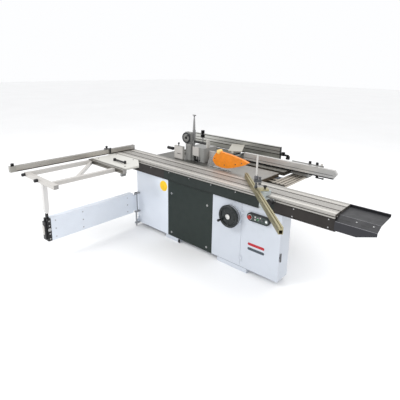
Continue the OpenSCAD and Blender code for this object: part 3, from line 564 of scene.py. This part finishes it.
# handwheel: bright ring, five spokes, sealing rings on the panel behind it
WHEEL_X, WHEEL_Z = 418, 572
lathes("wheel_hub_ring", [((WHEEL_X, -430, WHEEL_Z), OUT, [(0, 3), (9, 3), (11, 1), (24, 1), (26, 0), (0, 0)])],
       machined("hub_face", (0.66, 0.66, 0.64), 0.3), "wheel", 48)
SPOKES = 5
boxes("wheel_spokes",
      [((34, -3.5, -9), (92, 6, 9),
        Matrix.Translation((WHEEL_X, -418, WHEEL_Z)) @ Matrix.Rotation(2 * math.pi * k / SPOKES + 0.3, 4, "Y"))
       for k in range(SPOKES)], LOOKS["handwheel"], "wheel", 3)
lathes("wheel_seal", [((WHEEL_X, -375, WHEEL_Z), OUT, ring(38, 42, 1.6)),
                      ((WHEEL_X, -375, WHEEL_Z), OUT, ring(104, 110, 1))], grey_paint, "machine", 64)


# ---------------------------------------------------------------- beam and sliding table

boxes("beam_lip", [((-1155, -374.2, 738), (1452, -371.8, 742))], LOOKS["carriage_beam"], "machine", 0.5)
boxes("beam_end_plates", [((-1160, -370, 738), (-1154.5, -187, 840)), ((1451.5, -370, 738), (1455.5, -187, 840))],
      dark_steel, "machine", 1)
boxes("table_marks", [((x - MARK, -69.5, 889.9), (x + MARK, -66, 890.4)) for x in range(-1450, 1351, 100)],
      dark_steel, "table", 0)
prisms("cover_slots", [([(-364, 848.4), (-352, 853.0), (-352.2, 853.9), (-364.2, 849.3)], x0, x1, 0)
                       for x0, x1 in ((1475, 1560), (1640, 1700))], black, "table")
lathes("cover_bolts", [((x, -346, 855.3), (0, -0.358, 0.934), bolt(6, 4)) for x in (1600, 1725)], steel, "table")
# light strips on the folds of the cover: painted highlights along the creases
boxes("cover_fold", [((1455, y0, z0), (1768, y1, z1))
                     for y0, z0, y1, z1 in ((-397.9, 833.5, -394.8, 836.4), (-314.2, 866.2, -311, 868.6),
                                            (-70, 886.5, -65.2, 889.6))], crease_highlight, "table", 0.8)


# ---------------------------------------------------------------- saw

GUARD_BAND = [(-128, 975), (352, 1028), (352, 1031), (-126, 985)]
prisms("guard_rib", [(GUARD_BAND, y0, y1) for y0, y1 in ((-19.4, -17.6), (17.6, 19.4))],
       LOOKS["blade_guard"], "guard", 1)
lathes("guard_screws", [((x, y, z), axis, bolt(6, 3.4)) for y, axis in ((-18, OUT), (18, IN))
                        for x, z in ((-98, 1000), (40, 950), (190, 985), (270, 1012))], dark_steel, "guard")
GUARD_CAP = [(0, 9), (9, 8.4), (17, 6.4), (22, 3.4), (25.2, 0), (25.2, -4), (0, -4)]
lathes("guard_knob_cap", [((-45, y, 1086), axis, GUARD_CAP) for y, axis in ((-24, OUT), (24, IN))],
       moulded("guard_cap", PALE_ORANGE, 0.35), "guard", 48)
boxes("table_insert", [((x0, y0, 887.2), (x1, y1, 889.8))
                       for x0, y0, x1, y1 in ((-221, -12.4, -160, -7.6), (-221, 3.4, -160, 5.4),
                                              (-160, 3.2, 149, 5.4), (-160, -12.4, 149, -9.5))],
      alu, "machine", 0)
lathes("table_screws", [((x, y, 890), UP, [(0, 0.8), (5, 0.8), (6, 0), (0, 0)])
                        for x, y in ((-215, 30), (180, 30), (500, -40), (500, 300), (-200, 300))],
       steel, "machine")


# ---------------------------------------------------------------- spindle moulder

lathes("hood_bolts",
       [((x, 62, z), OUT, bolt(6, 4)) for x, z in ((-548, 930), (-548, 1040), (-342, 930), (-342, 1040))] +
       [((x, y, 1060), UP, bolt(7, 5)) for x, y in ((-345, 80), (-345, 270), (-480, 270))], steel, "machine")
lathes("hood_dust_port", [((-445, 290, 985), IN, [(46, -2), (52, -2), (52, 55), (55, 55), (55, 62), (46, 62),
                                                  (46, -2)])], LOOKS["spindle_hood"], "machine", 48)
boxes("hood_ribs", [((-598 + 26 * k, 26, 893), (-592 + 26 * k, 31, 1080)) for k in range(3)],
      LOOKS["spindle_hood"], "machine", 1)
lathes("table_rings", [((-450, 118, 884), UP, [(55, 0), (89.6, 0), (89.6, 5.9), (86, 6), (59, 6), (55, 5.5),
                                               (55, 0)])], steel, "machine", 64)
boxes("left_plate_face", [((-748, -17.2, 896), (-612, -14.9, 1048))], light, "left_plate", 1)
boxes("left_plate_slot", [((-700, -18, 955), (-640, -16.9, 963))], black, "left_plate", 0.5)
lathes("left_plate_grip", [((-885, 4, 1000), LEFT, [(0, 5), (14, 5), (19, 0), (0, 0)]),
                           ((-800, 4, 1000), RIGHT, [(19, -8), (21, -6), (21, -2), (19, 0), (19, -8)])],
       black, "left_plate")
boxes("right_plate_face", [((-326, 148, 897), (-234, 150.1, 1018))], light, "right_plate", 1)

# pressure post: collars, taper, T end
POST_X, POST_Y = -508, 77
lathes("post_collars",
       [((POST_X, POST_Y, 1263), UP, [(7.1, 0), (13, 0), (13, 14), (11, 16), (7.1, 16), (7.1, 0)]),
        ((POST_X, POST_Y, 1432), DOWN, [(7.1, 0), (9, 0), (9, 8), (7.1, 10), (7.1, 0)])], dark_steel, "pressure")
lathes("post_taper", [((POST_X, POST_Y, 1262.5), UP, [(7.1, 0), (15, 0), (14.2, 40), (11, 100), (7.4, 150),
                                                      (7.1, 150)])], LOOKS["pressure_post"], "pressure", 40)

# pressure handwheel: face ring, spokes, grip
DIAL_X, DIAL_Z = -596, 1160
lathes("dial_face", [((DIAL_X, 30.5, DIAL_Z), OUT, [(17, 0), (46, 0), (46, 3.2), (44, 4), (19, 4), (17, 3),
                                                    (17, 0)])],
       machined("dial_steel", (0.30, 0.30, 0.29), 0.35), "pressure_dial", 48)
lathes("post_t_ends", [((-530, POST_Y, 1440), LEFT, dome(5.9, 5)), ((-486, POST_Y, 1440), RIGHT, dome(5.9, 5))],
       black, "pressure")
boxes("dial_spokes",
      [((15, 12, -5), (54, 20, 5),
        Matrix.Translation((DIAL_X, 15, DIAL_Z)) @ Matrix.Rotation(2 * math.pi * k / SPOKES, 4, "Y"))
       for k in range(SPOKES)], grey_paint, "pressure_dial", 1.5)
lathes("dial_grip", [((DIAL_X + 46, 20, DIAL_Z + 34), OUT, [(0, 26), (6, 26), (8, 22), (7, 6), (5, 0), (0, 0)])],
       black, "pressure_dial")


# ---------------------------------------------------------------- planer and rip fence

boxes("planer_lips", [((-353.4, 402, 882), (-351, 848, 889.6)), ((-249, 402, 880), (-246.6, 848, 887.6))],
      steel, "machine", 0.2)
boxes("planer_switch", [((-545, 342, 600), (-480, 345.2, 720))], black, "machine", 2)
lathes("planer_bolts", [((x, 882, z), IN, bolt(7, 4)) for x in (-530, 30) for z in (100, 450, 800)],
       steel, "machine")
boxes("planer_vents", [((-420, 881.5, z), (-180, 885, z + 10)) for z in range(200, 331, 26)],
      white, "machine", 1.2)
lathes("fence_knobs", [((340, 856, 931), OUT, knob(13, 24)), ((272, 856, 968), OUT, knob(13, 22))],
       black, "planer_fence_unit")
boxes("planer_fence_cap", [((231.5, 851.5, 892.5), (235.5, 892.5, 1050.5))], black, "planer_fence_unit", 1.5)
boxes("planer_fence_lip", [((-1210, 849.6, 893.4), (232, 852.2, 904))], dark_steel, "planer_fence_unit")
rail_marks = []
for k in range(16):
    y = 110 + 48 * k
    rail_marks.append(((585.5, y - MARK, 849.9), (597 if k % 5 else 603, y + MARK, 850.5)))
boxes("rail_marks", rail_marks, dark_steel, "machine", 0)
lathes("rip_knob_tops", [((x, 560, 1023), UP, dome(14, 5)) for x in (771, 853)], black, "rip")
lathes("rip_bar_end", [((920, 560, 985), RIGHT, dome(14, 8))], black, "rip")
boxes("rip_scale_window", [((690, 540.2, 930), (716, 541.4, 944))], light, "rip", 0.5)
boxes("rip_fence_slot", [((-54, 499.2, 931), (1060, 500.6, 935))], dark_steel, "rip_bar", 0.2)


# ---------------------------------------------------------------- outrigger, crosscut fence and arm

lathes("outrigger_bolts", [((x, y, 888), UP, bolt(8, 5))
                           for x, y in ((-1380, -700), (-850, -700), (-1380, -440), (-1030, -440))],
       steel, "outrigger")
boxes("outrigger_caps",
      [((-793, -1573, 836.5), (-787, -1527, 876.5)), ((-1445, -1573, 836.5), (-1439, -1527, 876.5)),
       ((-760, -799, 839), (-754, -751, 885)), ((-1444, -799, 839), (-1439.5, -751, 885))],
      painted("cap_grey", (0.30, 0.29, 0.28), 0.5), "outrigger", 1.5)
lathes("outrigger_knob_faces", [((x, -1605, 857), OUT, [(0, 6), (12, 6), (17, 2), (18, 0), (0, 0)])
                                for x in (-1420, -1130)], black, "outrigger")
boxes("outrigger_clamp", [((-800, -806, 806), (-772, -744, 838.2))], grey_paint, "outrigger", 3)
lathes("clamp_knob_top", [((-945, -625, 919.5), UP, dome(13, 6)), ((-1150, -625, 915), UP, dome(17, 5))],
       black, "clamp")
boxes("fence_marks", [((-1470.5, y - MARK, 952.9), (-1463.6, y + MARK, 953.5)) for y in range(-1610, -209, 50)],
      dark_steel, "fence", 0)
boxes("fence_inner_cap", [((-1504, -76.4, 894), (-1464, -73.5, 952))], black, "fence", 1.5)
lathes("extension_knob", [((-1484, -1668, 980), UP, dome(17, 5))], black, "extension")
lathes("stop_knob", [((-1484, -508, 989.5), UP, [(0, 8), (9, 8), (15, 5), (15, -6), (9, -9), (0, -9)])],
       black, "stop")
lathes("arm_bolts",
       [((-1015, y, z), RIGHT, bolt(6, 4)) for y in (-1480, -1165, -560) for z in (250, 340, 430)] +
       [((-1085, y, z), LEFT, bolt(6, 4)) for y in (-1480, -560) for z in (250, 430)], steel, "arm")
lathes("collar_bolts", [((-1012, -1550, z), RIGHT, bolt(8, 6)) for z in (245, 300, 390, 440)], steel, "arm")
lathes("arm_clamp", [((-1012, -1550, 345), RIGHT, [(0, 8), (14, 8), (18, 5), (18, 1), (14, 0), (0, 0)])],
       steel, "arm", 40)
prisms("post_badge", [(round_outline(-1050, 345, 20, 52, 19.9, 10), -1599, -1591.8)], light, "post", 2)
lathes("knuckle_rod", [((-1025, -404, 217), UP, [(0, 211), (3, 211), (4, 210), (4, 1), (3, 0), (0, 0)])],
       dark_steel, "arm")
lathes("hinge_pin_head", [((-1050, -400, 451), UP, dome(15, 8)), ((-1050, -400, 12), DOWN, dome(11, 6))],
       dark_steel, "machine")
prisms("hinge_gusset", [([(-400, 62), (-350.2, 62), (-350.2, 140)], -1054, -1046, 0)], white, "machine", 1)


# ---------------------------------------------------------------- mitre fence

FENCE_TURN = Matrix.Rotation(math.radians(-45), 4, "Z")
HOLD_X, HOLD_Y = 720, -423
boxes("mitre_marks", [((u - MARK, 220.5, 946.7), (u + MARK, 226.5, 947.2), FENCE_TURN)
                      for u in range(360, 1640, 46)], dark_steel, "mitre_bar", 0)
boxes("mitre_caps", [((326.5, 194.5, 894), (330, 226.5, 946), FENCE_TURN)], dark_steel, "mitre_bar", 1)
lathes("mitre_pivot_knob", [((790, -380, 945), UP, knob(17, 30))], black, "mitre_bar")
lathes("mitre_base_bolts", [((x, -425, z), OUT, bolt(6, 4)) for x in (775, 815) for z in (775, 830)],
       steel, "mitre")
lathes("mitre_knob_face", [((890, -470, 860), OUT, [(0, 5), (20, 5), (27, 2), (30, 0), (0, 0)])],
       black, "mitre", 48)
lathes("hold_down_top", [((HOLD_X, HOLD_Y, 1251), UP, dome(9.2, 5))], light, "clamp_down")
lathes("hold_down_screw", [((HOLD_X, HOLD_Y, 1026), UP, [(0, 34), (14, 34), (19, 28), (19, 6), (14, 0), (0, 0)]),
                           ((744, -399, 1026), UP, knob(12, 24))], dark_steel, "clamp_down")


# ---------------------------------------------------------------- floor, light, camera

FLOOR_HALF = 40
FLOOR_Z = -0.0005


def floor_material():
    s = Surface("pale_floor")
    tone = s.mix(s.remap(s.noise(0.6, 3.0), 0, 1), (0.92, 0.92, 0.92), (0.95, 0.95, 0.95))
    s.bump(s.noise(40.0, 3.0), 0.03, 0.001)
    return s.finish(tone, 0.75)


mesh = bpy.data.meshes.new("floor")
mesh.from_pydata([(x * FLOOR_HALF, y * FLOOR_HALF, FLOOR_Z) for x, y in ((-1, -1), (1, -1), (1, 1), (-1, 1))],
                 [], [(0, 1, 2, 3)])
floor = bpy.data.objects.new("floor", mesh)
mesh.materials.append(floor_material())
bpy.context.scene.collection.objects.link(floor)

world = bpy.data.worlds.new("studio")
world.use_nodes = True
world.node_tree.nodes["Background"].inputs[0].default_value = (0.985, 0.99, 1.0, 1.0)
world.node_tree.nodes["Background"].inputs[1].default_value = 1.0
bpy.context.scene.world = world


def area_light(name, place, target, size, power, colour=(1, 1, 1)):
    data = bpy.data.lights.new(name, "AREA")
    data.shape = "RECTANGLE"
    data.size, data.size_y = size
    data.energy = power
    data.color = colour
    obj = bpy.data.objects.new(name, data)
    bpy.context.scene.collection.objects.link(obj)
    obj.location = place
    obj.rotation_euler = (Vector(target) - Vector(place)).to_track_quat("-Z", "Y").to_euler()


area_light("key", (-2.6, -5.5, 5.2), (0.0, 0.0, 0.6), (3.0, 2.0), 170)
area_light("fill", (5.5, -3.5, 3.0), (0.4, 0.0, 0.6), (4.0, 3.0), 40, (0.95, 0.97, 1.0))
area_light("top", (0.8, 2.5, 5.0), (0.0, 0.0, 0.8), (4.0, 3.0), 90)
bpy.context.scene.view_settings.view_transform = "Standard"

# camera: yaw from +Y towards -X, pitch down, roll about the line of sight
EYE = Vector((2.413, -3.108, 2.000))
YAW, PITCH, ROLL = (math.radians(a) for a in (41.5, 14.4, -1.1))
forward = Vector((-math.sin(YAW) * math.cos(PITCH), math.cos(YAW) * math.cos(PITCH), -math.sin(PITCH)))
level = Vector((math.cos(YAW), math.sin(YAW), 0))
down = forward.cross(level)
right = level * math.cos(ROLL) + down * math.sin(ROLL)
down = down * math.cos(ROLL) - level * math.sin(ROLL)
camera_data = bpy.data.cameras.new("camera")
camera_data.lens = 32.7
camera_data.sensor_width = 36
camera_data.shift_y = -0.1
camera_data.clip_end = 200
camera = bpy.data.objects.new("camera", camera_data)
bpy.context.scene.collection.objects.link(camera)
camera.matrix_world = Matrix((
    (right.x, -down.x, -forward.x, EYE.x),
    (right.y, -down.y, -forward.y, EYE.y),
    (right.z, -down.z, -forward.z, EYE.z),
    (0, 0, 0, 1)))
bpy.context.scene.camera = camera
